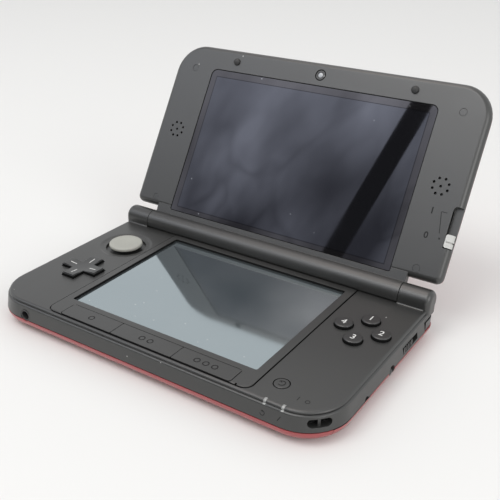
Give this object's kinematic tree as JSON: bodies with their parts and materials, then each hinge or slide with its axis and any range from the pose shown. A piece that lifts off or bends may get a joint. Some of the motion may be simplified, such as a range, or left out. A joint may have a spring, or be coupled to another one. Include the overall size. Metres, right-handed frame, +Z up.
{
  "type": "clamshell handheld game console",
  "caption": "Clamshell handheld game console standing open: raised upper screen on a friction hinge, touch screen between a circle pad, cross pad and face buttons, red outer covers.",
  "frame": {"origin": "centre of the flat underside that the base rests on", "axes": "+X along the hinge to the user's right, +Y from the front edge towards the hinge, +Z up"},
  "size_m": [0.156, 0.1377, 0.0889],
  "materials": {
    "housing_dark": "fine satin grain",
    "cover_red": "metallic red gloss",
    "key_dark": "satin",
    "pad_grey": "soft matte",
    "slider_grey": "satin",
    "plastic_black": "satin",
    "light_pipe": "frosted",
    "infrared_plastic": "gloss",
    "touch_film": "gloss",
    "window_glass": "gloss",
    "display_black": "gloss",
    "rubber_black": "soft",
    "steel": "bright",
    "plate_aluminium": "satin",
    "board_green": "solder mask",
    "flex_amber": "film"
  },
  "bodies": {
    "base": {"base_cover": "cover_red", "base_housing": "housing_dark", "cover_screws": "steel", "touch_panel": "touch_film", "touch_display": "display_black", "display_tray": "plate_aluminium", "main_board": "board_green", "wireless_board": "board_green", "battery": "plastic_black", "game_card_slot": "steel", "memory_card_slot": "steel", "memory_card": "plastic_black", "charge_port": "plastic_black", "infrared_window": "infrared_plastic", "audio_socket": "plastic_black", "stylus_silo": "plastic_black", "light_pipes": "light_pipe", "microphone": "steel", "cross_pad_membrane": "rubber_black", "face_button_membrane": "rubber_black", "front_key_membrane": "rubber_black", "circle_pad_tray": "plastic_black", "power_switch": "steel", "shoulder_switches": "steel", "volume_control": "steel", "wireless_control": "steel", "hinge_cartridges": "steel"},
    "lid": {"lid_bezel": "housing_dark", "lid_cover": "cover_red", "display_window": "window_glass", "upper_display": "display_black", "lid_plate": "plate_aluminium", "speakers": "steel", "inner_camera": "plastic_black", "outer_cameras": "plastic_black", "lid_bumpers": "rubber_black", "screw_plugs": "rubber_black", "lid_screws": "steel", "display_flex": "flex_amber", "hinge_shafts": "steel", "depth_control": "board_green"},
    "memory_card_door": {"memory_card_door": "cover_red"},
    "stylus": {"stylus": "housing_dark"},
    "circle_pad_carriage": {"circle_pad_carriage": "steel"},
    "circle_pad": {"circle_pad": "pad_grey"},
    "cross_pad_gimbal": {"cross_pad_gimbal": "steel"},
    "cross_pad": {"cross_pad": "key_dark"},
    "face_button_back": {"face_button_back": "key_dark"},
    "face_button_front": {"face_button_front": "key_dark"},
    "face_button_left": {"face_button_left": "key_dark"},
    "face_button_right": {"face_button_right": "key_dark"},
    "front_key_left": {"front_key_left": "key_dark"},
    "front_key_centre": {"front_key_centre": "key_dark"},
    "front_key_right": {"front_key_right": "key_dark"},
    "power_button": {"power_button": "key_dark"},
    "shoulder_button_left": {"shoulder_button_left": "key_dark"},
    "shoulder_button_right": {"shoulder_button_right": "key_dark"},
    "volume_slider": {"volume_slider": "key_dark"},
    "wireless_switch": {"wireless_switch": "housing_dark"},
    "depth_slider": {"depth_slider": "slider_grey"}
  },
  "joints": [
    {"name": "lid_hinge", "type": "hinge", "parent": "base", "child": "lid", "pos_m": [0, 0.04135, 0.0149], "axis": [-1, 0, 0], "range_deg": [-121.5, 33.5]},
    {"name": "memory_card_door_hinge", "type": "hinge", "parent": "base", "child": "memory_card_door", "pos_m": [0.0759, -0.03745, 0.0037], "axis": [0, 0, -1], "range_deg": [0, 80]},
    {"name": "stylus_slide", "type": "slide", "parent": "base", "child": "stylus", "axis": [1, 0, 0], "range_m": [0, 0.1]},
    {"name": "circle_pad_side_slide", "type": "slide", "parent": "base", "child": "circle_pad_carriage", "axis": [1, 0, 0], "range_m": [-0.0025, 0.0025], "stiffness_N_per_m": 200},
    {"name": "circle_pad_depth_slide", "type": "slide", "parent": "circle_pad_carriage", "child": "circle_pad", "axis": [0, 1, 0], "range_m": [-0.0025, 0.0025], "stiffness_N_per_m": 200},
    {"name": "cross_pad_pitch", "type": "hinge", "parent": "base", "child": "cross_pad_gimbal", "pos_m": [-0.0592, -0.0112, 0.00995], "axis": [1, 0, 0], "range_deg": [-2.8, 2.8], "stiffness_Nm_per_rad": 0.15},
    {"name": "cross_pad_roll", "type": "hinge", "parent": "cross_pad_gimbal", "child": "cross_pad", "pos_m": [-0.0592, -0.0112, 0.00995], "axis": [0, 1, 0], "range_deg": [-2.8, 2.8], "stiffness_Nm_per_rad": 0.15},
    {"name": "face_button_back_press", "type": "slide", "parent": "base", "child": "face_button_back", "axis": [0, 0, -1], "range_m": [0, 0.0009], "stiffness_N_per_m": 800, "springref_m": -0.0003},
    {"name": "face_button_front_press", "type": "slide", "parent": "base", "child": "face_button_front", "axis": [0, 0, -1], "range_m": [0, 0.0009], "stiffness_N_per_m": 800, "springref_m": -0.0003},
    {"name": "face_button_left_press", "type": "slide", "parent": "base", "child": "face_button_left", "axis": [0, 0, -1], "range_m": [0, 0.0009], "stiffness_N_per_m": 800, "springref_m": -0.0003},
    {"name": "face_button_right_press", "type": "slide", "parent": "base", "child": "face_button_right", "axis": [0, 0, -1], "range_m": [0, 0.0009], "stiffness_N_per_m": 800, "springref_m": -0.0003},
    {"name": "front_key_left_press", "type": "slide", "parent": "base", "child": "front_key_left", "axis": [0, 0, -1], "range_m": [0, 0.0005], "stiffness_N_per_m": 1000, "springref_m": -0.0003},
    {"name": "front_key_centre_press", "type": "slide", "parent": "base", "child": "front_key_centre", "axis": [0, 0, -1], "range_m": [0, 0.0005], "stiffness_N_per_m": 1000, "springref_m": -0.0003},
    {"name": "front_key_right_press", "type": "slide", "parent": "base", "child": "front_key_right", "axis": [0, 0, -1], "range_m": [0, 0.0005], "stiffness_N_per_m": 1000, "springref_m": -0.0003},
    {"name": "power_button_press", "type": "slide", "parent": "base", "child": "power_button", "axis": [0, 0, -1], "range_m": [0, 0.0006], "stiffness_N_per_m": 1000, "springref_m": -0.0003},
    {"name": "shoulder_button_right_press", "type": "hinge", "parent": "base", "child": "shoulder_button_right", "pos_m": [0.0452, 0.0435, 0.0074], "axis": [0, 0, -1], "range_deg": [0, 1.6], "stiffness_Nm_per_rad": 1, "springref_deg": -0.29},
    {"name": "shoulder_button_left_press", "type": "hinge", "parent": "base", "child": "shoulder_button_left", "pos_m": [-0.0452, 0.0435, 0.0074], "axis": [0, 0, 1], "range_deg": [0, 1.6], "stiffness_Nm_per_rad": 1, "springref_deg": -0.29},
    {"name": "volume_slide", "type": "slide", "parent": "base", "child": "volume_slider", "axis": [0, 1, 0], "range_m": [-0.0046, 0.0046]},
    {"name": "wireless_slide", "type": "slide", "parent": "base", "child": "wireless_switch", "axis": [0, 1, 0], "range_m": [0, 0.0034], "stiffness_N_per_m": 300, "springref_m": -0.0005},
    {"name": "depth_slide", "type": "slide", "parent": "lid", "child": "depth_slider", "axis": [0, 0.5225, 0.8526], "range_m": [0, 0.01]}
  ]
}
